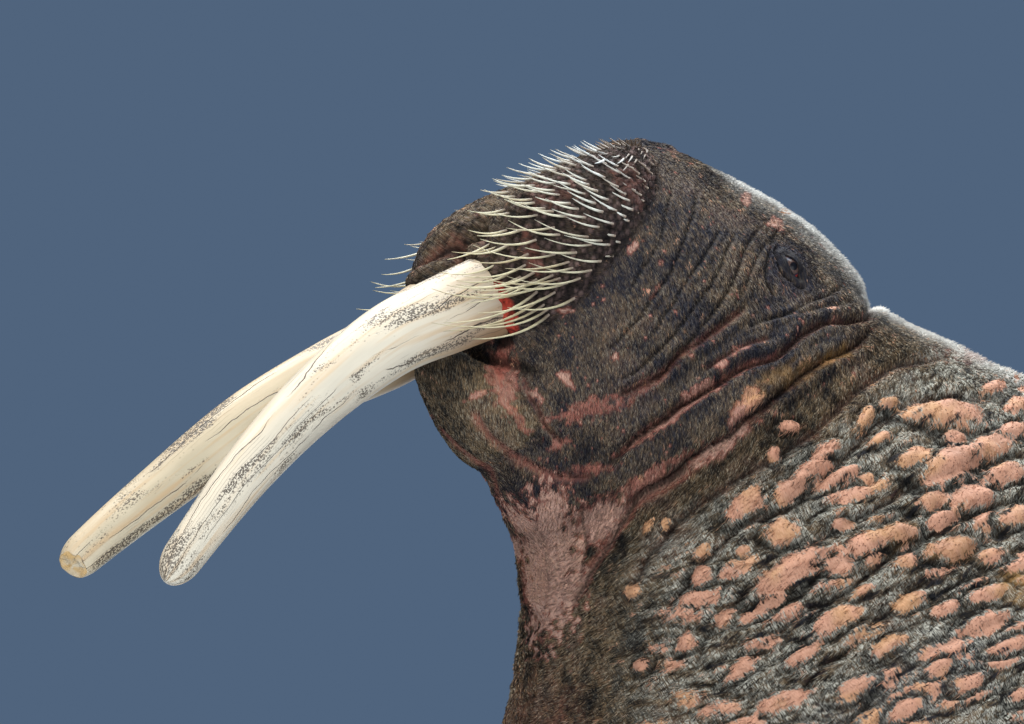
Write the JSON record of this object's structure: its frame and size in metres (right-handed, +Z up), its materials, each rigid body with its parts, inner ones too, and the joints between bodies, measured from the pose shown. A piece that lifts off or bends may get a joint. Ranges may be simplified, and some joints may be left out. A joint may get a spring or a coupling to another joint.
{
  "type": "walrus",
  "caption": "Life-size still model of an adult male walrus, chest raised on its fore flippers and head thrown up, with tusks, whiskered muzzle and a lumpy neck.",
  "frame": {"origin": "on the floor, below the middle of the model's box", "axes": "+Z up, the walrus faces -X, its left side is towards -Y"},
  "size_m": [3.2194, 1.8402, 1.3355],
  "materials": {
    "skin": "thick creased hide under short dark grizzled fur",
    "bossed_skin": "pinkish lumps of bare hide with dark grizzled fur between them",
    "muzzle": "knobbly pad skin set with stiff cream whiskers",
    "flipper": "bare, finely wrinkled hide",
    "ivory": "satin ivory with fine lengthwise cracks and dark stains",
    "eye": "wet, dark and glossy"
  },
  "bodies": {
    "root": {"head": "skin", "muzzle_pad_left": "muzzle", "muzzle_pad_right": "muzzle", "lower_jaw": "skin", "tusk_left": "ivory", "tusk_right": "ivory", "eye_left": "eye", "eye_right": "eye", "neck": "bossed_skin", "chest": "bossed_skin", "torso": "skin", "rump": "skin", "tail": "skin", "fore_flipper_left": "flipper", "fore_flipper_right": "flipper", "hind_flipper_left": "flipper", "hind_flipper_right": "flipper"}
  },
  "joints": []
}
